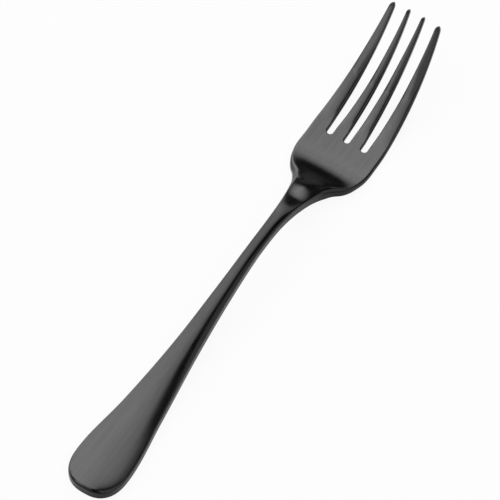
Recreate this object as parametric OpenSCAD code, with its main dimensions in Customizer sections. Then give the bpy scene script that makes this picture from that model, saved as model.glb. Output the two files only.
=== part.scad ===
// Dinner fork lying on a table with its hollow side up, forged from one bar of steel.
// The eight nodes are the named regions of that forging. Neighbours meet on one plane square to the spine.
// Lengths run along the spine, the underside's line down the middle of the fork, from the handle's end.
// The fork points along +X, +Z is up and the underside's flats rest on z = 0.

/* [Handle] */
// Length of the handle, to the joint with the shank
handle_len = 62; // [56:0.5:68]
// Widest width of the handle, where its round end stops
handle_w = 20.3; // [17:0.1:23]
// Length of the round end
handle_round = 12; // [9:0.5:15]
// Place of the measured width along the taper
handle_taper_at = 36; // [30:0.5:42]
// Width of the handle at that place
handle_taper_w = 14.62; // [12.5:0.02:16]
// Length that lies flat on the table
handle_flat_len = 22; // [18:0.5:26]
// Rise of the underside where the taper is measured
handle_taper_lift = 0.5; // [0.3:0.05:0.9]
// Height of the handle's side wall
handle_side = 3.5; // [2.8:0.1:4.2]
// Rise of the top from the side to the middle
handle_crown = 0.95; // [0.5:0.05:1.4]
// Radius of the top edge of the handle
handle_edge = 0.45; // [0.3:0.05:0.7]

/* [Shank] */
// Length of the shank, from the handle to the neck
shank_len = 56; // [53:0.5:62]
// Width at the handle's joint
shank_root_w = 8.92; // [7.6:0.02:10.2]
// Rise of the underside at the handle's joint
shank_root_lift = 3.55; // [2.8:0.05:4.3]
// Distance from the handle's joint to the middle of the shank
shank_mid_at = 22; // [17:0.5:27]
// Width at the middle of the shank
shank_mid_w = 6; // [5.2:0.1:6.8]
// Rise of the underside at the middle of the shank
shank_mid_lift = 6.95; // [6:0.05:7.8]
// Distance from the handle's joint to the waist, the narrowest and highest place
shank_waist_at = 44; // [40:0.5:48]
// Width of the waist
shank_waist_w = 4.66; // [4.1:0.02:5.1]
// Rise of the underside at the waist
shank_waist_lift = 9.2; // [8.5:0.05:10.5]
// Height of the side wall at the waist
shank_side = 3.85; // [3.3:0.05:4.4]
// Rise of the top from the side to the middle at the waist
shank_crown = 0.55; // [0.3:0.05:0.9]
// Radius of the top edge at the waist
shank_edge = 0.6; // [0.4:0.05:0.8]

/* [Neck] */
// Length of the neck, from the shank to the head
neck_len = 30; // [28:0.5:34]
// Width at the shank's joint
neck_root_w = 5.32; // [4.9:0.02:5.8]
// Rise of the underside at the shank's joint
neck_root_lift = 8.4; // [7.9:0.05:8.8]
// Rise of the top from the side to the middle at the shank's joint
neck_root_crown = 0.5; // [0.4:0.05:0.8]
// Distance from the shank's joint to where the top starts to sink
neck_sink_at = 4; // [3:0.5:5]
// Rise of the top from the side to the middle there
neck_sink_crown = 0.33; // [0.25:0.01:0.5]
// Distance from the shank's joint to the middle of the slope down
neck_slope_at = 8; // [6.5:0.5:9.5]
// Width at the middle of the slope
neck_slope_w = 7.24; // [6.5:0.02:8]
// Rise of the underside at the middle of the slope
neck_slope_lift = 6.6; // [6.1:0.05:7.1]
// Height of the side wall at the middle of the slope
neck_slope_side = 3.84; // [3.4:0.01:4]
// Distance from the shank's joint to the dip in the top
neck_dip_at = 8.8; // [8:0.1:10]
// Rise of the top from the side to the middle at the dip
neck_dip_crown = 0.05; // [0.02:0.01:0.2]
// Distance from the shank's joint to the start of the flare
neck_flare_at = 14; // [13:0.5:15]
// Width at the start of the flare
neck_flare_w = 10; // [9:0.1:11.2]
// Rise of the underside at the start of the flare
neck_flare_lift = 4.8; // [4.4:0.05:5.2]
// Height of the side wall at the start of the flare
neck_flare_side = 3.46; // [3:0.02:3.6]
// Distance from the shank's joint to the knuckle, the raised place where the neck starts to flare
neck_knuckle_at = 15.5; // [14:0.1:16.5]
// Rise of the top from the side to the middle at the knuckle
neck_knuckle_crown = 0.98; // [0.7:0.02:1.3]
// Distance from the shank's joint to where the sides turn outward
neck_turn_at = 18.5; // [17.5:0.5:19.5]
// Width where the sides turn outward
neck_turn_w = 13.4; // [12.4:0.1:15]
// Rise of the underside where the sides turn outward
neck_turn_lift = 3.05; // [2.75:0.05:3.35]
// Height of the side wall where the sides turn outward
neck_turn_side = 3.57; // [3.3:0.01:3.8]
// Distance from the shank's joint to the back of the knuckle
neck_back_at = 21.5; // [20:0.5:23]
// Rise of the top from the side to the middle at the back of the knuckle
neck_back_crown = 0.44; // [0.3:0.01:0.65]
// Distance from the shank's joint to the middle of the flare
neck_spread_at = 23; // [21.5:0.5:24.5]
// Width in the middle of the flare
neck_spread_w = 20.6; // [19:0.1:22.2]
// Rise of the underside in the middle of the flare
neck_spread_lift = 1.85; // [1.55:0.05:2.15]
// Height of the side wall in the middle of the flare
neck_spread_side = 3.21; // [2.95:0.01:3.45]
// Radius of the top edge along the flare
neck_edge = 1.2; // [0.8:0.05:1.4]

/* [Head] */
// Length of the head along the spine, from the neck to the tines
head_len = 16; // [14.5:0.5:18]
// Length of the head before the spine starts to bend up
head_flat_len = 8; // [7:0.5:9]
// Width at the neck's joint
head_root_w = 26.66; // [24.5:0.02:27.6]
// Rise of the underside at the neck's joint
head_root_lift = 0.75; // [0.5:0.05:1]
// Thickness of the head's sides at the neck's joint
head_root_side = 2.5; // [2.2:0.05:2.8]
// Depth of the hollow across the width at the neck's joint
head_root_dish = 0.14; // [0.05:0.01:0.2]
// Distance from the neck's joint to the widest place
head_widest_at = 9; // [8:0.5:11]
// Widest width of the head
head_w = 27.86; // [26.2:0.02:30]
// Width of the head where the tines start
head_end_w = 27.66; // [26:0.02:28.4]
// Thickness of the head at its sides
head_side = 2.25; // [1.8:0.05:2.8]
// Depth of the head's hollow across its width
head_dish = 0.2; // [0.05:0.05:0.5]
// Radius of the head's top edge
head_edge = 0.45; // [0.3:0.05:0.6]

/* [Tines] */
// Radius of the bend up to the points, on the underside
bend_r = 61; // [54:0.5:72]
// Length of the inner tines along the spine
tine_len = 49; // [44:0.1:53]
// Length by which the outer tines stop before the inner ones
tine_outer_short = 0.35; // [0:0.05:1.5]
// Width of the outer slots at their round ends
slot_w = 2.45; // [2.1:0.05:2.9]
// Width of the middle slot at its round end
middle_slot_w = 2.25; // [1.9:0.05:2.7]
// Distance from the middle slot to the slots beside it
slot_pitch = 6.85; // [6.4:0.05:7.2]
// Length of a slot that is in the head
slot_in_head = 3.9; // [3:0.1:5]
// Width of an outer tine at its point, before the point is rounded
outer_tip_w = 1.92; // [1.5:0.02:2.4]
// Distance from the middle to the point of an outer tine
outer_tip_y = 9.03; // [8.6:0.01:9.5]
// Width of an inner tine at its point, before the point is rounded
inner_tip_w = 1.24; // [1:0.02:1.6]
// Distance from the middle to the point of an inner tine
inner_tip_y = 2.92; // [2.6:0.02:3.3]
// Length of the rounding of an outer tine's point
outer_tip_round = 2; // [1.4:0.1:2.8]
// Length of the rounding of an inner tine's point
inner_tip_round = 1.2; // [0.9:0.1:2]
// Bow of an outer tine's outer side, away from the middle
outer_bow = 0.3; // [0:0.05:0.5]
// Bow toward the middle of an inner tine's side along the middle slot
inner_low_bow = 0.25; // [0:0.05:0.4]
// Bow toward the middle of an inner tine's other side
inner_high_bow = 0.15; // [0:0.05:0.3]
// Thickness of the tines at their points
tine_tip_side = 1.7; // [1.3:0.05:2]
// Radius of the tines' edges
tine_edge = 0.4; // [0.2:0.05:0.45]

/* [Rest] */
// Height cut off the underside to make the two flats the fork rests on
rest_cut = 0.1; // [0.05:0.01:0.2]
// Radius of the lower edge of the handle, shank, neck and head
low_edge = 0.7; // [0.4:0.05:0.9]

/* [Hidden] */
// Node to draw, or all of them

// Colour of the dark steel
steel = "#3a3a3c";
// Power of the oval that ends the handle
end_power = 2.5;
// Length of the handle left off at the tip of its round end, where the oval closes
end_gap = 0.03;

// Places along the spine
shank_s = handle_len;
waist_s = shank_s + shank_waist_at;
neck_s = shank_s + shank_len;
slope_s = neck_s + neck_slope_at;
flare_s = neck_s + neck_flare_at;
turn_s = neck_s + neck_turn_at;
spread_s = neck_s + neck_spread_at;
head_s = neck_s + neck_len;
bend_s = head_s + head_flat_len;
tine_s = head_s + head_len;
inner_tip_s = tine_s + tine_len;
outer_tip_s = inner_tip_s - tine_outer_short;
fork_len = bend_s + bend_r * sin((inner_tip_s - bend_s) / bend_r * 180 / PI);

// Slope of the outline at the start of the tines, which taper from there to their points
tine_slope = (outer_tip_y + outer_tip_w / 2 - head_end_w / 2 + 4 * outer_bow) / (outer_tip_s - tine_s);

// Knots along the spine: place, value and, where it is given, slope
width_knots = [
    [handle_round, handle_w / 2, 0],
    [handle_taper_at, handle_taper_w / 2],
    [shank_s, shank_root_w / 2],
    [shank_s + shank_mid_at, shank_mid_w / 2],
    [waist_s, shank_waist_w / 2, 0],
    [neck_s, neck_root_w / 2],
    [slope_s, neck_slope_w / 2],
    [flare_s, neck_flare_w / 2],
    [turn_s, neck_turn_w / 2],
    [spread_s, neck_spread_w / 2],
    [head_s, head_root_w / 2],
    [head_s + head_widest_at, head_w / 2, 0],
    [tine_s, head_end_w / 2, tine_slope]
];
lift_knots = [
    [0, 0, 0],
    [handle_flat_len, 0, 0],
    [handle_taper_at, handle_taper_lift],
    [shank_s, shank_root_lift],
    [shank_s + shank_mid_at, shank_mid_lift],
    [waist_s, shank_waist_lift, 0],
    [neck_s, neck_root_lift],
    [slope_s, neck_slope_lift],
    [flare_s, neck_flare_lift],
    [turn_s, neck_turn_lift],
    [spread_s, neck_spread_lift],
    [head_s, head_root_lift],
    [bend_s, 0, 0]
];
side_knots = [
    [0, handle_side, 0],
    [handle_taper_at, handle_side, 0],
    [waist_s, shank_side, 0],
    [neck_s, shank_side],
    [slope_s, neck_slope_side],
    [flare_s, neck_flare_side],
    [turn_s, neck_turn_side],
    [spread_s, neck_spread_side],
    [head_s, head_root_side],
    [bend_s, head_side, 0],
    [inner_tip_s, tine_tip_side]
];
crown_knots = [
    [0, handle_crown, 0],
    [shank_s, handle_crown],
    [waist_s, shank_crown],
    [neck_s, neck_root_crown],
    [neck_s + neck_sink_at, neck_sink_crown],
    [neck_s + neck_dip_at, neck_dip_crown, 0],
    [neck_s + neck_knuckle_at, neck_knuckle_crown, 0],
    [neck_s + neck_back_at, neck_back_crown],
    [head_s, -head_root_dish, 0],
    [bend_s, -head_dish, 0],
    [inner_tip_s, -head_dish / 2]
];
edge_knots = [
    [0, handle_edge, 0],
    [shank_s, handle_edge, 0],
    [waist_s, shank_edge],
    [turn_s, neck_edge, 0],
    [head_s, head_edge, 0],
    [tine_s, head_edge, 0]
];

// Smooth curve through knots, and its slope
function span(k, s, i = 0) = i >= len(k) - 2 || s < k[i + 1][0] ? i : span(k, s, i + 1);
function run(k, i) = k[i + 1][0] - k[i][0];
function chord(k, i) = (k[i + 1][1] - k[i][1]) / run(k, i);
function tangent(k, i) =
    len(k[i]) > 2 ? k[i][2]
    : i == 0 ? chord(k, 0)
    : i == len(k) - 1 ? chord(k, i - 1)
    : (run(k, i) * chord(k, i - 1) + run(k, i - 1) * chord(k, i)) / (run(k, i) + run(k, i - 1));
function share(k, i, s) = max(0, min(1, (s - k[i][0]) / run(k, i)));
function spline_at(k, i, t) =
    (2 * t ^ 3 - 3 * t ^ 2 + 1) * k[i][1] + (t ^ 3 - 2 * t ^ 2 + t) * run(k, i) * tangent(k, i)
    + (3 * t ^ 2 - 2 * t ^ 3) * k[i + 1][1] + (t ^ 3 - t ^ 2) * run(k, i) * tangent(k, i + 1);
function slope_at(k, i, t) =
    (6 * t - 6 * t ^ 2) * chord(k, i)
    + (3 * t ^ 2 - 4 * t + 1) * tangent(k, i) + (3 * t ^ 2 - 2 * t) * tangent(k, i + 1);
function spline(k, s) = let (i = span(k, s)) spline_at(k, i, share(k, i, s));
function spline_slope(k, s) = let (i = span(k, s)) slope_at(k, i, share(k, i, s));

// Angle of the spine above the table
function lean(s) = s > bend_s ? (s - bend_s) / bend_r * 180 / PI : atan(spline_slope(lift_knots, s));
// Point at height h over the spine's place s, out to the side by y
function place(s, y, h) =
    let (a = lean(s))
    let (x = s > bend_s ? bend_s + bend_r * sin(a) : s)
    let (z = s > bend_s ? bend_r * (1 - cos(a)) : spline(lift_knots, s))
    [x - h * sin(a) - fork_len / 2, y, z + h * cos(a) - rest_cut];

// Drop of a rounded edge of radius r at a distance from the outline
function round_off(gap, r) = gap >= r ? 0 : r - sqrt(r ^ 2 - (r - max(0, gap)) ^ 2);
// Half of the fork's width
function half_w(s) =
    s < handle_round ? handle_w / 2 * (1 - (1 - s / handle_round) ^ end_power) ^ (1 / end_power)
    : spline(width_knots, s);
// Distance from the outline, square to it, at the handle's round end and along the rest of the fork
function end_gap_at(s, y) =
    let (q = 1 - s / handle_round)
    let (v = abs(y) / (handle_w / 2))
    let (near = [q ^ (end_power - 1) / handle_round, v ^ (end_power - 1) / (handle_w / 2)])
    let (steep = end_power * norm(near))
    (1 - q ^ end_power - v ^ end_power) / max(steep, least_steep);
function outline_gap(s, y) =
    s < handle_round ? end_gap_at(s, y)
    : (half_w(s) - abs(y)) / norm([1, spline_slope(width_knots, s)]);
// Height of the top surface before its edges are rounded, which the tines share
function top_face(s, y) =
    let (w = s < tine_s ? half_w(max(s, handle_round)) : head_end_w / 2)
    spline(side_knots, s) + spline(crown_knots, s) * (1 - (y / w) ^ 2);

// Points across a section, as shares of the edge's rounding and then of the flat between the edges
edge_shares = [0, 0.08, 0.3, 0.62];
flat_shares = [1, 0.75, 0.5, 0.25];
// Largest share of half a section's width that its edge points take
most_edge = 0.8;
// Length over which a tine's edges beside the slots become rounded
root_fade = 5;
// Least steepness in a distance to an oval, which keeps it from growing at the oval's middle
least_steep = 0.01;
function across(w, edge) = [
    for (e = edge_shares) w - e * edge,
    for (f = flat_shares) f * (w - edge),
    0,
    for (i = [len(flat_shares) - 1:-1:0]) -flat_shares[i] * (w - edge),
    for (i = [len(edge_shares) - 1:-1:0]) edge_shares[i] * edge - w
];

// Sections of the body, square to the spine: the top from left to right, then the underside
function body_section(s) =
    let (w = half_w(s))
    let (top_r = spline(edge_knots, s))
    let (steep = s < handle_round ? 1 : norm([1, spline_slope(width_knots, s)]))
    let (ys = across(w, min(most_edge * w, max(top_r, low_edge) * steep)))
    [
        [for (y = ys) place(s, y, top_face(s, y) - round_off(outline_gap(s, y), top_r))],
        [for (y = ys) place(s, y, round_off(outline_gap(s, y), low_edge))]
    ];

// Distance from a tine's outline, square to it: along its sides, and q of the way out along its oval point
function tine_gap(y, half, q, tip_round) =
    q > 0 ? (1 - q ^ 2 - (y / half) ^ 2) / (2 * max(least_steep, norm([q / tip_round, y / half ^ 2])))
    : half - abs(y);
// Radius of a tine's edge, which grows from the slot's sharp edge, or goes on from the head's own edge
function tine_r(y, open, fade, head_r) =
    y > 0 && !open ? head_r + fade * (tine_edge - head_r) : fade * tine_edge;

// Sections of a tine whose sides bow a little between its root's edges and those of its rounded point
function tine_section(s, tine) =
    let (root = tine[0], tip = tine[1], bows = tine[2])
    let (tip_s = tine[3], tip_round = tine[4], open = tine[5])
    let (f = (s - tine_s) / (tip_s - tine_s))
    let (edges = root + f * (tip - root) + 4 * f * (1 - f) * bows)
    let (low_y = edges[0], high_y = edges[1])
    let (mid = (low_y + high_y) / 2, half = (high_y - low_y) / 2)
    let (q = max(0, s - tip_s + tip_round) / tip_round)
    let (w = half * sqrt(1 - q ^ 2))
    let (fade = min(1, (s - tine_s) / root_fade))
    let (ys = across(w, min(tine_edge, most_edge * w)))
    let (tops = [for (y = ys) round_off(tine_gap(y, half, q, tip_round), tine_r(y, open, fade, head_edge))])
    let (lows = [for (y = ys) round_off(tine_gap(y, half, q, tip_round), tine_r(y, open, fade, low_edge))])
    [
        [for (i = [0:len(ys) - 1]) place(s, mid + ys[i], top_face(s, mid + ys[i]) - tops[i])],
        [for (i = [0:len(ys) - 1]) place(s, mid + ys[i], lows[i])]
    ];

// Solid through sections of one form, closed by strips between top and underside at both ends
module loft(sections) {
    n = len(sections[0][0]);
    ring = 2 * n;
    last = (len(sections) - 1) * ring;
    points = [
        for (section = sections) each [for (p = section[0]) p, for (i = [n - 1:-1:0]) section[1][i]]
    ];
    sides = [
        for (i = [0:len(sections) - 2], k = [0:ring - 1])
            let (a = i * ring + k, b = i * ring + (k + 1) % ring)
            each [[a, a + ring, b + ring], [a, b + ring, b]]
    ];
    start_cap = [for (k = [0:n - 2]) [k, k + 1, ring - 2 - k, ring - 1 - k]];
    end_cap = [for (f = start_cap) [last + f[3], last + f[2], last + f[1], last + f[0]]];
    polyhedron(points = points, faces = concat(sides, start_cap, end_cap), convexity = 6);
}

// Even places from one joint to the next
function steps(from, to, count) = [for (i = [0:count]) from + (to - from) * i / count];

// Everything below the table, which is cut from the pieces that rest on it
module below_table() {
    deep = 5;
    translate([-fork_len, -handle_w, -deep])
        cube([2 * fork_len, 2 * handle_w, deep]);
}

module handle() {
    end_turns = 12;
    end_s = [for (i = [1:end_turns - 1]) handle_round * (1 - cos(90 * i / end_turns))];
    color(steel)
        difference() {
            loft([for (s = concat([end_gap], end_s, steps(handle_round, shank_s, 16))) body_section(s)]);
            below_table();
        }
}

module shank() {
    color(steel)
        loft([for (s = steps(shank_s, neck_s, 20)) body_section(s)]);
}

module neck() {
    color(steel)
        loft([for (s = steps(neck_s, head_s, 24)) body_section(s)]);
}

// Slot between two tines, from its round end in the head to past the head's joint with them
module slot(y, wide) {
    end_x = place(tine_s - slot_in_head, 0, 0)[0];
    long = slot_in_head + wide;
    tall = bend_r / 2;
    translate([end_x + wide / 2, y, -tall / 2]) {
        cylinder(d = wide, h = tall, $fn = 48);
        translate([0, -wide / 2, 0])
            cube([long, wide, tall]);
    }
}

module head() {
    color(steel)
        difference() {
            loft([for (s = steps(head_s, tine_s, 10)) body_section(s)]);
            below_table();
            slot(0, middle_slot_w);
            for (y = [-slot_pitch, slot_pitch])
                slot(y, slot_w);
        }
}

// Each tine: edges at its root and at its point, bows of its sides, where the point ends,
// the length of the point's rounding, and if there are slots on both sides
outer_root = [slot_pitch + slot_w / 2, head_end_w / 2];
outer_tip = [outer_tip_y - outer_tip_w / 2, outer_tip_y + outer_tip_w / 2];
outer_tine = [outer_root, outer_tip, [0, outer_bow], outer_tip_s, outer_tip_round, false];
inner_root = [middle_slot_w / 2, slot_pitch - slot_w / 2];
inner_tip = [inner_tip_y - inner_tip_w / 2, inner_tip_y + inner_tip_w / 2];
inner_bows = [-inner_low_bow, -inner_high_bow];
inner_tine = [inner_root, inner_tip, inner_bows, inner_tip_s, inner_tip_round, true];

module tine(form) {
    point_s = form[3] - form[4];
    point_turns = 6;
    last_angle = 86;
    point_angles = [for (i = [1:point_turns]) last_angle * i / point_turns];
    loft([
        for (s = steps(tine_s, point_s, 16)) tine_section(s, form),
        for (a = point_angles) tine_section(point_s + form[4] * sin(a), form)
    ]);
}

module tine_outer_left() {
    color(steel)
        tine(outer_tine);
}

module tine_inner_left() {
    color(steel)
        tine(inner_tine);
}

module tine_inner_right() {
    color(steel)
        mirror([0, 1, 0])
            tine(inner_tine);
}

module tine_outer_right() {
    color(steel)
        mirror([0, 1, 0])
            tine(outer_tine);
}

handle();
shank();
neck();
head();
tine_outer_left();
tine_inner_left();
tine_inner_right();
tine_outer_right();
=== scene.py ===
# Dinner fork in satin black steel, lying on a white table with its hollow side up.
# Sizes are in millimetres, along the spine: the underside's line down the middle, from the handle's end.
# The meshes are in metres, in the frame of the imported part: +X to the points of the tines, +Z up.
import math

import bmesh
import bpy
import numpy as np
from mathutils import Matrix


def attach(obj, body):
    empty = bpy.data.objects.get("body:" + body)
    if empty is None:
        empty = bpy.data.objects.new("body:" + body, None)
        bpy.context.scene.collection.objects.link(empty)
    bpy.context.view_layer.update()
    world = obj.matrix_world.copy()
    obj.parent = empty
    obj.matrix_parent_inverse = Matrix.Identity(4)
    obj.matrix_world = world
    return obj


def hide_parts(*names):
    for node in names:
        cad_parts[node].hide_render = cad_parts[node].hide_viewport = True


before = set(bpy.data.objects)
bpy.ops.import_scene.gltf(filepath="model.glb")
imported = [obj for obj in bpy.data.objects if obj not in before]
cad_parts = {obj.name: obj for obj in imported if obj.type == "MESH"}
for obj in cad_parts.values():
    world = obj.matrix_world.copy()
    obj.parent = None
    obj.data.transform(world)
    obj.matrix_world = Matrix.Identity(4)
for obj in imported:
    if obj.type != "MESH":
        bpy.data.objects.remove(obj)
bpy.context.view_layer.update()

MM = 0.001

# Places of the joints along the spine
SHANK_S = 62.0
NECK_S = 118.0
HEAD_S = 148.0
TINE_S = 164.0
# Start and radius of the bend that lifts the tines
BEND_S = 156.0
BEND_R = 61.0

# Round end of the handle, an oval of this power, which starts a hair in from its closing point
HANDLE_W = 20.3
HANDLE_ROUND = 12.0
END_POWER = 2.5
END_GAP = 0.03
# Distance from the end within which the crown gets no narrower
END_CROWN = 2.5
# Least slope that divides a distance from an oval
LEAST_STEEP = 0.01

# Slots: middle and width of each, and where their round ends start
SLOT_PITCH = 6.85
OUTER_SLOT_W = 2.45
MIDDLE_SLOT_W = 2.25
SLOTS = ((-SLOT_PITCH, OUTER_SLOT_W), (0.0, MIDDLE_SLOT_W), (SLOT_PITCH, OUTER_SLOT_W))
SLOT_S = 160.1

# Tines: edges of each point, where it ends, the length of its rounding and how far its sides bow outward
OUTER_TIP = {"low": 8.07, "high": 9.99, "s": 212.65, "round": 2.0, "low_bow": 0.0, "high_bow": 0.3}
INNER_TIP = {"low": 2.3, "high": 3.54, "s": 213.0, "round": 1.2, "low_bow": -0.25, "high_bow": -0.15}
# Width of the head where the tines start, and slope of its sides there, which run on into the outer tines
HEAD_END_W = 27.66
TINE_SLOPE = (OUTER_TIP["high"] - HEAD_END_W / 2 + 4 * OUTER_TIP["high_bow"]) / (OUTER_TIP["s"] - TINE_S)

# Radius of the lower edges, of the slots' edges in the head and of the tines' lower edges
LOW_EDGE = 0.7
SLOT_EDGE = 0.35
TINE_LOW_EDGE = 0.5
# Length over which a tine's edges change from the head's to its own
ROOT_FADE = 5.0
# Height cut off the underside to make the flats that the fork rests on
REST_CUT = 0.1

# The lists below hold knots along the spine: place, value and, where it is given, slope.

# Half of the body's width
WIDTH = [
    (HANDLE_ROUND, HANDLE_W / 2, 0), (36, 7.31), (SHANK_S, 4.46), (84, 3.0), (106, 2.33, 0), (NECK_S, 2.66),
    (126, 3.62), (132, 5.0), (136.5, 6.75), (139, 8.2), (141, 10.15), (HEAD_S, 13.33), (157, 13.915, 0),
    (TINE_S, HEAD_END_W / 2, TINE_SLOPE),
]
# Height of the underside, up to the bend
LIFT = [
    (0, 0, 0), (22, 0, 0), (36, 0.5), (SHANK_S, 3.55), (84, 6.95), (106, 9.2, 0), (NECK_S, 8.4),
    (126, 6.6), (132, 4.8), (136.5, 3.05), (141, 1.85), (HEAD_S, 0.75), (BEND_S, 0, 0),
]
# Height of the sides over the underside
SIDE = [
    (0, 3.95, 0), (14, 3.5, 0), (36, 3.5, 0), (106, 3.85, 0), (NECK_S, 3.85), (126, 3.84), (132, 3.46),
    (136.5, 3.57), (141, 3.21), (HEAD_S, 2.5), (BEND_S, 2.25, 0), (180, 2.0), (196, 1.48),
    (INNER_TIP["s"], 1.15),
]
# Height of the top's middle over its sides, which is below them in the hollow of the head
CROWN = [
    (0, 0.9, 0), (14, 0.95, 0), (SHANK_S, 0.95), (106, 0.55), (NECK_S, 0.5), (122, 0.33), (126.8, 0.05, 0),
    (133.5, 0.98, 0), (139.5, 0.44), (148.5, -0.14, 0), (BEND_S, -0.2, 0), (180, -0.16), (196, 0.35),
    (INNER_TIP["s"], 0.4),
]
# How the top falls from its middle to its sides: 2 is an arc, less is a ridge, more is a flat top
CROWN_POWER = [(0, 2), (126, 2, 0), (135, 1.4, 0), (142, 3.9, 0), (150, 2, 0), (INNER_TIP["s"], 2)]
# Radius of the body's top edges
EDGE = [
    (0, 1.15, 0), (14, 0.5, 0), (SHANK_S, 0.45, 0), (106, 0.6), (130, 0.6, 0), (137, 1.7, 0), (146, 0.7, 0),
    (TINE_S, 0.7, 0),
]
# Tines: radius of the top edges, and how far each top falls from its own middle to its sides
TINE_EDGE = [(TINE_S, 0.6, 0), (180, 0.6, 0), (198, 0.3, 0), (INNER_TIP["s"], 0.3)]
TINE_CROWN = [(TINE_S, 0.28, 0), (180, 0.28, 0), (198, 0.06, 0), (INNER_TIP["s"], 0.06)]


def curve(knots, s):
    """Value and slope at s of the smooth curve through the knots."""
    at = np.array([k[0] for k in knots], float)
    value = np.array([k[1] for k in knots], float)
    run = np.diff(at)
    chord = np.diff(value) / run
    inner = (run[1:] * chord[:-1] + run[:-1] * chord[1:]) / (run[1:] + run[:-1])
    slope = np.concatenate([chord[:1], inner, chord[-1:]])
    for i, knot in enumerate(knots):
        if len(knot) > 2:
            slope[i] = knot[2]
    s = np.asarray(s, float)
    i = np.clip(np.searchsorted(at, s) - 1, 0, len(run) - 1)
    t = np.clip((s - at[i]) / run[i], 0, 1)
    y = (2 * t**3 - 3 * t**2 + 1) * value[i] + (t**3 - 2 * t**2 + t) * run[i] * slope[i]
    y = y + (3 * t**2 - 2 * t**3) * value[i + 1] + (t**3 - t**2) * run[i] * slope[i + 1]
    dy = (6 * t - 6 * t**2) * chord[i] + (3 * t**2 - 4 * t + 1) * slope[i] + (3 * t**2 - 2 * t) * slope[i + 1]
    return y, dy


def spine(s):
    """Place along X, height and lean of the spine."""
    bent = np.maximum(s - BEND_S, 0) / BEND_R
    lift, slope = curve(LIFT, np.minimum(s, BEND_S))
    x = np.minimum(s, BEND_S) + BEND_R * np.sin(bent)
    return x, lift + BEND_R * (1 - np.cos(bent)), np.arctan(slope) * (s <= BEND_S) + bent


FORK_LEN = float(spine(np.array(INNER_TIP["s"]))[0])


def place(s, y, h):
    """Points at height h over the spine's places s, out to the side by y, in metres."""
    x, z, lean = spine(s)
    points = np.stack([x - h * np.sin(lean) - FORK_LEN / 2, y, z + h * np.cos(lean) - REST_CUT], -1)
    points[:, 2] = np.maximum(points[:, 2], 0)
    return points * MM


def half_width(s):
    """Half of the width of the handle's end and the body."""
    q = np.clip(1 - s / HANDLE_ROUND, 0, 1)
    oval = HANDLE_W / 2 * (1 - q**END_POWER) ** (1 / END_POWER)
    return np.where(s < HANDLE_ROUND, oval, curve(WIDTH, s)[0])


def outline_gap(s, y):
    """Distance from the body's outline, square to it."""
    half = HANDLE_W / 2
    q = np.clip(1 - s / HANDLE_ROUND, 0, 1)
    v = np.abs(y) / half
    steep = END_POWER * np.hypot(q ** (END_POWER - 1) / HANDLE_ROUND, v ** (END_POWER - 1) / half)
    end = (1 - q**END_POWER - v**END_POWER) / np.maximum(steep, LEAST_STEEP)
    side = (half_width(s) - np.abs(y)) / np.hypot(1, curve(WIDTH, s)[1])
    return np.where(s < HANDLE_ROUND, end, side)


def slot_gap(s, y):
    """Distance from the nearest slot's outline."""
    gaps = []
    for slot_y, slot_w in SLOTS:
        before = np.minimum(s - SLOT_S - slot_w / 2, 0)
        gaps.append(np.hypot(before, y - slot_y) - slot_w / 2)
    return np.min(gaps, axis=0)


def round_off(gap, r):
    """Drop of an edge rounded to radius r, at a distance from the outline."""
    inside = np.clip(gap, 0, r)
    return r - np.sqrt(r**2 - (r - inside) ** 2)


def top_face(s, y):
    """Height of the top surface before its edges are rounded."""
    w = half_width(np.clip(s, END_CROWN, TINE_S))
    fall = (np.abs(y) / w) ** curve(CROWN_POWER, s)[0]
    return curve(SIDE, s)[0] + curve(CROWN, s)[0] * (1 - fall)


# Columns beside an edge as shares of its radius, and the columns between two edges
EDGE_SHARES = np.array([0, 0.02, 0.07, 0.15, 0.27, 0.42, 0.62, 0.85, 1.1])
FLAT_COLUMNS = 14
# Largest share of a strip's width that the columns beside one edge take
MOST_EDGE = 0.42
# Levels of a side wall, from its top to its foot
WALL_LEVELS = (0, 0.1, 0.5, 0.9, 1)
# Distance of an extra row from a joint, which keeps the shading even across it
SEAM = 0.02
# Distances between the rows
BODY_STEP = 1.0
NECK_STEP = 0.3
TINE_STEP = 0.8
# Counts of rows at the handle's end, before the slots, beside their ends, from there to the tines,
# and at a point
END_ROWS = 40
HEAD_ROWS = 22
SLOT_ROWS = 16
ROOT_ROWS = 6
POINT_ROWS = 22
# Count of columns across a slot, and the distance before the slots where the rows start to bend around them
SLOT_COLUMNS = 17
SLOT_LEAD = 2.0
# Turn of a point's rounding at which its last row stops short of closing
LAST_TURN = math.radians(86)
# Largest share of a tine's half width that the radius of an edge takes
MOST_RADIUS = 0.95


def strip(low, high, edge):
    """Rows of columns from low to high, close together at both edges."""
    edge = np.minimum(edge, MOST_EDGE / EDGE_SHARES[-1] * (high - low))
    near = edge[:, None] * EDGE_SHARES
    first = low[:, None] + near
    last = high[:, None] - near[:, ::-1]
    flat = np.linspace(0, 1, FLAT_COLUMNS + 2)[1:-1]
    middle = first[:, -1:] + (last[:, :1] - first[:, -1:]) * flat
    return np.concatenate([first, middle, last], axis=1)


def rows_between(start, end, step):
    """Even rows from one joint to the next, with one more close to each."""
    count = max(2, round((end - start) / step))
    even = np.linspace(start, end, count + 1)
    return np.concatenate([even[:1], [start + SEAM], even[1:-1], [end - SEAM], even[-1:]])


def grid(s, y):
    """Points and quads of a flat grid with rows along s and columns along y."""
    s = np.broadcast_to(s if s.ndim == 2 else s[:, None], y.shape)
    index = np.arange(y.size).reshape(y.shape)
    quads = np.stack([index[:-1, :-1], index[1:, :-1], index[1:, 1:], index[:-1, 1:]], -1)
    return np.stack([s.ravel(), y.ravel()], -1), quads.reshape(-1, 4)


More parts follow.
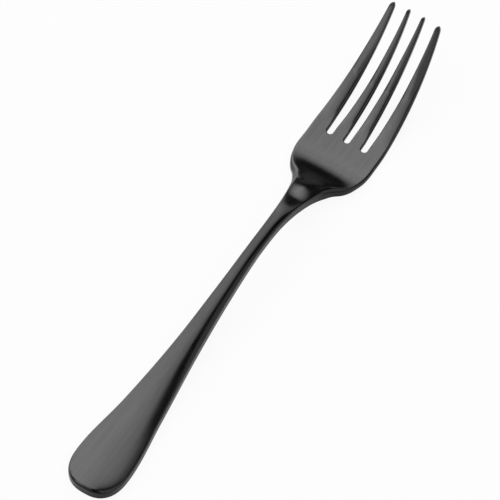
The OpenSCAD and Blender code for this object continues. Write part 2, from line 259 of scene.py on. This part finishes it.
def weld(grids):
    """One flat mesh from grids that share points."""
    points = np.concatenate([g[0] for g in grids])
    starts = np.cumsum([0] + [len(g[0]) for g in grids[:-1]])
    quads = np.concatenate([g[1] + start for g, start in zip(grids, starts)])
    _, first, same = np.unique(np.round(points, 6), axis=0, return_index=True, return_inverse=True)
    return points[first], same.ravel()[quads]


def plate(name, flat_mesh, heights, joints):
    """Closed solid over a flat mesh, between the heights of its top and underside, cut flat at its joints."""
    (s, y), quads = flat_mesh[0].T, flat_mesh[1]
    top_h, low_h, top_side, low_side = heights(s, y)
    # The rim is made of the edges that only one quad has
    pairs = np.concatenate([quads[:, [k, (k + 1) % 4]] for k in range(4)])
    known = set(map(tuple, pairs.tolist()))
    rim = [pair for pair in known if pair[::-1] not in known]
    rim.sort()
    rim_points = sorted({p for pair in rim for p in pair})
    # The walls join the rim of the top to that of the underside, with more points on levels between them
    count = len(s)
    layers = [place(s, y, top_h), place(s, y, low_h)]
    ring = {level: {} for level in WALL_LEVELS}
    for i, p in enumerate(rim_points):
        ring[0][p] = p
        ring[1][p] = count + p
        for k, level in enumerate(WALL_LEVELS[1:-1]):
            ring[level][p] = 2 * count + k * len(rim_points) + i
    for level in WALL_LEVELS[1:-1]:
        layers.append(layers[0][rim_points] * (1 - level) + layers[1][rim_points] * level)
    faces = quads.tolist() + (quads[:, ::-1] + count).tolist()
    caps = [False] * len(faces)
    at_joint = {j: np.isclose(s, j) for j in joints}
    for p, q in rim:
        cap = any(at_joint[j][p] and at_joint[j][q] for j in joints)
        for upper, lower in zip(WALL_LEVELS[:-1], WALL_LEVELS[1:]):
            faces.append([ring[upper][q], ring[upper][p], ring[lower][p], ring[lower][q]])
            caps.append(cap)
    mesh = bpy.data.meshes.new(name)
    mesh.from_pydata(np.concatenate(layers).tolist(), [], faces)
    bm = bmesh.new()
    bm.from_mesh(mesh)
    bm.faces.ensure_lookup_table()
    # All is shaded smooth apart from the edges of the flat faces at the joints
    for face in bm.faces:
        face.smooth = True
    for edge in bm.edges:
        edge.smooth = len({caps[f.index] for f in edge.link_faces}) == 1
    bm.to_mesh(mesh)
    bm.free()
    side = np.ones(len(mesh.vertices), np.float32)
    side[: 2 * count] = np.concatenate([top_side, low_side])
    mesh.attributes.new("side", "FLOAT", "POINT").data.foreach_set("value", side)
    piece = bpy.data.objects.new(name, mesh)
    bpy.context.scene.collection.objects.link(piece)
    return piece


def rounded(s, y, top_drop, top_r, low_drop, low_r):
    """Heights of the top and the underside, and how far each has turned into the side wall."""
    return top_face(s, y) - top_drop, low_drop, top_drop / top_r, low_drop / low_r


def body_heights(s, y):
    gap = outline_gap(s, y)
    top_r = curve(EDGE, s)[0]
    return rounded(s, y, round_off(gap, top_r), top_r, round_off(gap, LOW_EDGE), LOW_EDGE)


def head_heights(s, y):
    gap, slot = outline_gap(s, y), slot_gap(s, y)
    by_slot = slot < gap
    gap = np.minimum(gap, slot)
    top_r = np.where(by_slot, SLOT_EDGE, curve(EDGE, s)[0])
    low_r = np.where(by_slot, SLOT_EDGE, LOW_EDGE)
    return rounded(s, y, round_off(gap, top_r), top_r, round_off(gap, low_r), low_r)


def body_rows(rows):
    """Flat mesh of a stretch of the body."""
    w = half_width(rows)
    steep = np.where(rows < HANDLE_ROUND, 1, np.hypot(1, curve(WIDTH, rows)[1]))
    edge = np.maximum(curve(EDGE, rows)[0], LOW_EDGE) * steep
    return grid(rows, strip(-w, w, edge))


def handle_piece():
    end_rows = HANDLE_ROUND * (1 - np.cos(np.linspace(0, math.pi / 2, END_ROWS + 1)[1:-1]))
    end_rows = end_rows[end_rows > 2 * END_GAP]
    rows = np.concatenate([[END_GAP], end_rows, rows_between(HANDLE_ROUND, SHANK_S, BODY_STEP)])
    return plate("satin_handle", body_rows(rows), body_heights, [SHANK_S])


def shank_piece():
    rows = rows_between(SHANK_S, NECK_S, BODY_STEP)
    return plate("satin_shank", body_rows(rows), body_heights, [SHANK_S, NECK_S])


def neck_piece():
    rows = rows_between(NECK_S, HEAD_S, NECK_STEP)
    return plate("satin_neck", body_rows(rows), body_heights, [NECK_S, HEAD_S])


def head_columns(rows):
    """Columns across the head in seven strips: the roots of the tines, and the slots between them."""
    ones = np.ones_like(rows)
    turn = np.cos(np.linspace(math.pi, 0, SLOT_COLUMNS))
    strips = []
    low = -half_width(rows)
    for slot_y, slot_w in SLOTS:
        strips.append(strip(low, (slot_y - slot_w / 2) * ones, SLOT_EDGE * ones))
        strips.append((slot_y + turn * slot_w / 2) * ones[:, None])
        low = (slot_y + slot_w / 2) * ones
    strips.append(strip(low, half_width(rows), LOW_EDGE * ones))
    return strips


def head_piece():
    plain_end = SLOT_S - SLOT_LEAD
    slot_turn = SLOT_S + OUTER_SLOT_W / 2
    plain = np.concatenate([[HEAD_S, HEAD_S + SEAM], np.linspace(HEAD_S, plain_end, HEAD_ROWS)[1:]])
    first, *others = head_columns(plain)
    grids = [grid(plain, np.concatenate([first] + [columns[:, 1:] for columns in others], axis=1))]
    share = 1 - (1 - np.linspace(0, 1, SLOT_ROWS)) ** 2
    ends = plain_end + share * (slot_turn - plain_end)
    for i, y in enumerate(head_columns(ends)):
        is_slot = i % 2 == 1
        stop = np.full(y.shape[1], slot_turn)
        if is_slot:
            slot_y, slot_w = SLOTS[i // 2]
            half = slot_w / 2
            stop = SLOT_S + half - np.sqrt(np.maximum(half**2 - (y[-1] - slot_y) ** 2, 0))
            stop[[0, -1]] = slot_turn
        s = plain_end + share[:, None] * (stop - plain_end)
        grids.append(grid(s, y))
        if not is_slot:
            roots = np.concatenate([np.linspace(slot_turn, TINE_S - SEAM, ROOT_ROWS), [TINE_S]])
            grids.append(grid(roots, head_columns(roots)[i]))
    return plate("satin_head", weld(grids), head_heights, [HEAD_S, TINE_S])


def tine_edges(s, tip, root):
    """Edges of a tine's sides, which taper from its root to its point."""
    share = (s - TINE_S) / (tip["s"] - TINE_S)
    bow = 4 * share * (1 - share)
    low = root[0] + share * (tip["low"] - root[0]) + bow * tip["low_bow"]
    high = root[1] + share * (tip["high"] - root[1]) + bow * tip["high_bow"]
    return low, high


def tine_piece(name, tip, root, side):
    """Tine with its point on the side given by the sign, between the edges of its root."""

    def gaps(s, y):
        low, high = tine_edges(s, tip, root)
        middle, half = (low + high) / 2, (high - low) / 2
        out = y - middle
        q = np.clip((s - tip["s"]) / tip["round"] + 1, 0, 1)
        steep = 2 * np.maximum(np.hypot(q / tip["round"], out / half**2), LEAST_STEEP)
        gap = np.where(q > 0, (1 - q**2 - (out / half) ** 2) / steep, half - np.abs(out))
        return gap, half, out

    def heights(s, y):
        gap, half, out = gaps(s, side * y)
        fade = np.clip((s - TINE_S) / ROOT_FADE, 0, 1)
        outside = (out > 0) & (root[1] > SLOT_PITCH)
        root_top = np.where(outside, curve(EDGE, TINE_S)[0], SLOT_EDGE)
        root_low = np.where(outside, LOW_EDGE, SLOT_EDGE)
        top_r = np.minimum(root_top + fade * (curve(TINE_EDGE, s)[0] - root_top), MOST_RADIUS * half)
        low_r = np.minimum(root_low + fade * (TINE_LOW_EDGE - root_low), MOST_RADIUS * half)
        top_drop, low_drop = round_off(gap, top_r), round_off(gap, low_r)
        top_h, low_h, top_side, low_side = rounded(s, y, top_drop, top_r, low_drop, low_r)
        return top_h - fade * curve(TINE_CROWN, s)[0] * (out / half) ** 2, low_h, top_side, low_side

    round_s = tip["s"] - tip["round"]
    point_rows = round_s + tip["round"] * np.sin(np.linspace(0, LAST_TURN, POINT_ROWS)[1:])
    rows = np.concatenate([rows_between(TINE_S, round_s, TINE_STEP)[:-2], [round_s], point_rows])
    low, high = tine_edges(rows, tip, root)
    q = np.clip((rows - round_s) / tip["round"], 0, 1)
    middle, w = (low + high) / 2, (high - low) / 2 * np.sqrt(1 - q**2)
    y = strip(middle - w, middle + w, curve(TINE_EDGE, rows)[0])
    if side < 0:
        y = -y[:, ::-1]
    return plate(name, grid(rows, y), heights, [TINE_S])


def node(tree, kind, **values):
    """Shader node with the given properties, and with inputs set or linked by their names or as _number."""
    made = tree.nodes.new(kind)
    for key, value in values.pop("props", {}).items():
        setattr(made, key, value)
    for key, value in values.items():
        socket = made.inputs[int(key[1:])] if key[1:].isdigit() else made.inputs[key.replace("_", " ")]
        if isinstance(value, bpy.types.NodeSocket):
            tree.links.new(value, socket)
        else:
            socket.default_value = value
    return made


def ramp(tree, value, start, end, first, last):
    """Value that goes from first to last while another goes from start to end, and stays level beyond."""
    limits = {"From_Min": start, "From_Max": end, "To_Min": first, "To_Max": last}
    return node(tree, "ShaderNodeMapRange", Value=value, **limits).outputs[0]


def maths(tree, operation, *values):
    """Result of a Math node."""
    inputs = {f"_{i}": value for i, value in enumerate(values)}
    return node(tree, "ShaderNodeMath", props={"operation": operation}, **inputs).outputs[0]


def new_material(name):
    material = bpy.data.materials.new(name)
    material.use_nodes = True
    material.node_tree.nodes.clear()
    return material, material.node_tree


# Grain: how close it lies along and across the fork, and the values of its noise that are used
GRAIN_SCALE = (40, 1300, 1300)
GRAIN_VALUES = (0.25, 0.75)
# Smudges: how close they lie, the values of their noise that are used, and what they do to the roughness
SMUDGE_SCALE = 90.0
SMUDGE_VALUES = (0.3, 0.7)
SMUDGE_CHANGES = (-0.02, 0.02)
# Tone and roughness of the steel, over the values of the grain
TONES = (0.14, 0.17)
ROUGHNESSES = (0.13, 0.16)
# Depth of the grain in metres, and how much of it shows
GRAIN_DEPTH = 0.00002
GRAIN_SHOWN = 0.15
# Stretch of the reflections across the grain, from 0 to 1
STRETCH = 0.5

# Changes along the fork hold the places in metres where each starts and ends, and its first and last value.

# Painted shade on the side walls: the share of the tone left on them, what the points of the tines add back
# to it and what the end takes off
PAINTED_WALL_SHADE = (0.02, 0.06, 0.3, 0.08)
POINT_PAINTED_SHADE_LIFT = (0.078, 0.094, 0.0, 0.7)
END_PAINTED_SHADE = (-0.1015, -0.094, -0.17, 0.0)
# Share of the tone all over: from the handle to the shank, and what the head adds
SHANK_SHARE = (-0.0725, 0.0035, 1.0, 0.66)
HEAD_SHARE = (0.0155, 0.0255, 0.0, 0.44)
# How far a surface has turned into the side wall where its painted shade starts and ends
PAINTED_SHADE_TURNS = (0.1, 0.6)


def steel_material():
    """Satin black steel with a fine grain along the length, and painted shade that darkens its side walls."""
    material, tree = new_material("black_steel")
    where = node(tree, "ShaderNodeTexCoord").outputs["Object"]
    length = node(tree, "ShaderNodeSeparateXYZ", Vector=where).outputs["X"]
    side = node(tree, "ShaderNodeAttribute", props={"attribute_name": "side"}).outputs["Fac"]
    along = node(tree, "ShaderNodeMapping", Vector=where, Scale=GRAIN_SCALE).outputs[0]
    grain = node(tree, "ShaderNodeTexNoise", Vector=along, Scale=1.0, Detail=3.0, Roughness=0.6).outputs[0]
    cloud = node(tree, "ShaderNodeTexNoise", Vector=where, Scale=SMUDGE_SCALE, Detail=2.0).outputs[0]

    # Painted shade: the side walls are darkened, most on the head and tines and at the handle's end, less
    # near the points
    painted_wall_shade_share = maths(tree, "ADD", ramp(tree, length, *PAINTED_WALL_SHADE), ramp(tree, length, *POINT_PAINTED_SHADE_LIFT))
    painted_wall_shade_share = maths(tree, "ADD", painted_wall_shade_share, ramp(tree, length, *END_PAINTED_SHADE))
    painted_wall_shade = ramp(tree, side, *PAINTED_SHADE_TURNS, 1.0, painted_wall_shade_share)
    # Tone darker from the handle over the shank, and lighter again from the neck to the head
    length_tone = maths(tree, "ADD", ramp(tree, length, *SHANK_SHARE), ramp(tree, length, *HEAD_SHARE))
    tone = ramp(tree, grain, *GRAIN_VALUES, *TONES)
    for share in (painted_wall_shade, length_tone):
        tone = maths(tree, "MULTIPLY", tone, share)

    rough = ramp(tree, grain, *GRAIN_VALUES, *ROUGHNESSES)
    smudge = ramp(tree, cloud, *SMUDGE_VALUES, *SMUDGE_CHANGES)
    bump = node(tree, "ShaderNodeBump", Strength=GRAIN_SHOWN, Distance=GRAIN_DEPTH, Height=grain).outputs[0]
    across = node(tree, "ShaderNodeTangent", props={"direction_type": "RADIAL", "axis": "X"}).outputs[0]
    shader = node(
        tree,
        "ShaderNodeBsdfPrincipled",
        Base_Color=node(tree, "ShaderNodeCombineColor", Red=tone, Green=tone, Blue=tone).outputs[0],
        Roughness=maths(tree, "ADD", rough, smudge),
        Metallic=1.0,
        Anisotropic=STRETCH,
        Tangent=across,
        Normal=bump,
    )
    node(tree, "ShaderNodeOutputMaterial", Surface=shader.outputs[0])
    return material


# Share of plain white that a camera ray, or a ray seen in the metal, finds on the table
TABLE_WHITE = 0.92
TABLE_WHITE_IN_METAL = 0.15
# Colour of the table under the lamps, and half of its width in metres
TABLE_COLOUR = (0.9, 0.9, 0.9, 1)
TABLE_HALF = 6.0


def table_material():
    """White table that keeps the fork's shadow."""
    material, tree = new_material("white_table")
    path = node(tree, "ShaderNodeLightPath").outputs
    in_metal = maths(tree, "MAXIMUM", path["Is Glossy Ray"], path["Is Transmission Ray"])
    share = maths(tree, "MULTIPLY", in_metal, TABLE_WHITE_IN_METAL)
    share = maths(tree, "MULTIPLY_ADD", path["Is Camera Ray"], TABLE_WHITE, share)
    matt = node(tree, "ShaderNodeBsdfDiffuse", Color=TABLE_COLOUR).outputs[0]
    white = node(tree, "ShaderNodeEmission", Color=(1, 1, 1, 1), Strength=1.0).outputs[0]
    mixed = node(tree, "ShaderNodeMixShader", _0=share, _1=matt, _2=white).outputs[0]
    node(tree, "ShaderNodeOutputMaterial", Surface=mixed)
    return material


def table():
    half = TABLE_HALF
    corners = [(-half, -half, 0), (half, -half, 0), (half, half, 0), (-half, half, 0)]
    mesh = bpy.data.meshes.new("table")
    mesh.from_pydata(corners, [], [(0, 1, 2, 3)])
    top = bpy.data.objects.new("table", mesh)
    bpy.context.scene.collection.objects.link(top)
    mesh.materials.append(table_material())


# Lamps: two corners in metres, the way each faces, and its radiance
SOFTBOX = ((-0.6, -0.1, 1.6), (4.6, 4.5, 1.6), "down", 1.0)
FILL = ((-1.5, -0.1, 0.5), (-1.5, 2.6, 3.9), "+x", 0.72)
CEILING = ((-4.0, -4.0, 3.5), (4.0, 4.0, 3.5), "down", 0.8)
CARDS = {
    "left_card": ((-1.0, 4.5, 0.0), (4.6, 4.5, 1.6), "-y", 0.7),
    "far_card": ((4.0, -0.5, 0.0), (4.0, 2.5, 1.2), "-x", 0.09),
    "right_card": ((-2.0, -2.0, 0.05), (2.0, -2.0, 7.0), "+y", 0.22),
}
ROOM_LIGHT = 0.025

# Fades over a lamp hold the places where each starts and ends, and its first and last share.

# Softbox: the far fade runs along x and a share of y, the near one along x, and the others along y
SOFTBOX_SLANT = -0.6
SOFTBOX_FAR = (1.36, 2.53, 1.0, 0.0)
SOFTBOX_NEAR = (-0.55, 0.35, 0.65, 1.0)
SOFTBOX_EDGE = (-0.065, 0.095, 0.0, 1.0)
SOFTBOX_RIGHT = (0.05, 0.72, 0.62, 1.0)
# Fill: one fade runs along y and a share of z, and the other along z and a share of y
FILL_SLANT = -0.165
FILL_RIGHT = (0.3, 0.55, 0.35, 1.0)
CORNER_SLANT = -0.9
FILL_CORNER = (-0.9, -0.6, 0.0, 1.0)

# Turn of a panel that faces each way, and the axes of its width and height
FACINGS = {
    "down": ((0, 0, 0), (0, 1)),
    "+x": ((math.pi / 2, 0, -math.pi / 2), (1, 2)),
    "-x": ((math.pi / 2, 0, math.pi / 2), (1, 2)),
    "+y": ((math.pi / 2, 0, 0), (0, 2)),
    "-y": ((-math.pi / 2, 0, 0), (0, 2)),
}


def panel(name, low, high, facing, radiance, seen_in_metal=True):
    """Evenly bright flat panel between two corners, one of whose sides along an axis has no length."""
    low, high = np.array(low, float), np.array(high, float)
    lamp = bpy.data.lights.new(name, "AREA")
    lamp.shape = "RECTANGLE"
    turned = bpy.data.objects.new(name, lamp)
    turned.location = (low + high) / 2
    turned.rotation_euler, (across, along) = FACINGS[facing]
    lamp.size, lamp.size_y = (high - low)[across], (high - low)[along]
    lamp.energy = radiance * math.pi * lamp.size * lamp.size_y
    turned.visible_glossy = seen_in_metal
    bpy.context.scene.collection.objects.link(turned)
    return lamp


def shaded(lamp):
    """Node tree of a lamp, and the place that is lit up on it."""
    lamp.use_nodes = True
    tree = lamp.node_tree
    tree.nodes.clear()
    place_lit = node(tree, "ShaderNodeNewGeometry").outputs["Position"]
    axes = node(tree, "ShaderNodeSeparateXYZ", Vector=place_lit).outputs
    return tree, axes["X"], axes["Y"], axes["Z"]


def shine(tree, *shares):
    """Light of a lamp, at the product of the shares of its strength."""
    strength = shares[0]
    for share in shares[1:]:
        strength = maths(tree, "MULTIPLY", strength, share)
    light = node(tree, "ShaderNodeEmission", Strength=strength)
    node(tree, "ShaderNodeOutputLight", Surface=light.outputs[0])


def softbox():
    """Overhead panel that fades out along a slant at its far end, and is dimmer to its right and near it."""
    tree, x, y, _ = shaded(panel("softbox", *SOFTBOX))
    far = ramp(tree, maths(tree, "MULTIPLY_ADD", y, SOFTBOX_SLANT, x), *SOFTBOX_FAR)
    near = ramp(tree, x, *SOFTBOX_NEAR)
    edge = ramp(tree, y, *SOFTBOX_EDGE)
    right = ramp(tree, y, *SOFTBOX_RIGHT)
    shine(tree, far, near, edge, right)


def fill():
    """Upright panel behind the handle, dimmer towards y = 0 and dark in its lower corner at the largest y."""
    tree, _, y, z = shaded(panel("fill", *FILL))
    right = ramp(tree, maths(tree, "MULTIPLY_ADD", z, FILL_SLANT, y), *FILL_RIGHT)
    corner = ramp(tree, maths(tree, "MULTIPLY_ADD", y, CORNER_SLANT, z), *FILL_CORNER)
    shine(tree, right, corner)


def lights():
    softbox()
    fill()
    for name, card in CARDS.items():
        panel(name, *card)
    panel("ceiling", *CEILING, seen_in_metal=False)
    world = bpy.data.worlds.new("room")
    bpy.context.scene.world = world
    world.use_nodes = True
    background = world.node_tree.nodes["Background"].inputs
    background["Color"].default_value = (1, 1, 1, 1)
    background["Strength"].default_value = ROOM_LIGHT


# Camera: direction from the fork, distance in metres, sensor and lens in millimetres, and shift
AZIMUTH = math.radians(-57.0)
ELEVATION = math.radians(59.47)
DISTANCE = 2.0
SENSOR_W = 36.0
LENS = 429.05
SHIFT = (-0.00638, 0.03588)


def camera():
    """Camera at the photograph's viewing angle."""
    back = np.array([
        math.sin(AZIMUTH) * math.cos(ELEVATION),
        -math.cos(AZIMUTH) * math.cos(ELEVATION),
        math.sin(ELEVATION),
    ])
    data = bpy.data.cameras.new("camera")
    data.sensor_width = SENSOR_W
    data.lens = LENS
    data.shift_x, data.shift_y = SHIFT
    eye = bpy.data.objects.new("camera", data)
    eye.location = back * DISTANCE
    eye.rotation_euler = (math.pi / 2 - ELEVATION, 0, AZIMUTH)
    bpy.context.scene.collection.objects.link(eye)
    bpy.context.scene.camera = eye


def fork():
    outer_root = (SLOT_PITCH + OUTER_SLOT_W / 2, HEAD_END_W / 2)
    inner_root = (MIDDLE_SLOT_W / 2, SLOT_PITCH - OUTER_SLOT_W / 2)
    pieces = {
        "handle": handle_piece(),
        "shank": shank_piece(),
        "neck": neck_piece(),
        "head": head_piece(),
        "tine_outer_left": tine_piece("satin_tine_outer_left", OUTER_TIP, outer_root, 1),
        "tine_inner_left": tine_piece("satin_tine_inner_left", INNER_TIP, inner_root, 1),
        "tine_inner_right": tine_piece("satin_tine_inner_right", INNER_TIP, inner_root, -1),
        "tine_outer_right": tine_piece("satin_tine_outer_right", OUTER_TIP, outer_root, -1),
    }
    steel = steel_material()
    for name, piece in pieces.items():
        piece.data.materials.append(steel)
        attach(piece, "root")
        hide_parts(name)


fork()
table()
lights()
camera()
bpy.context.scene.view_settings.view_transform = "Standard"
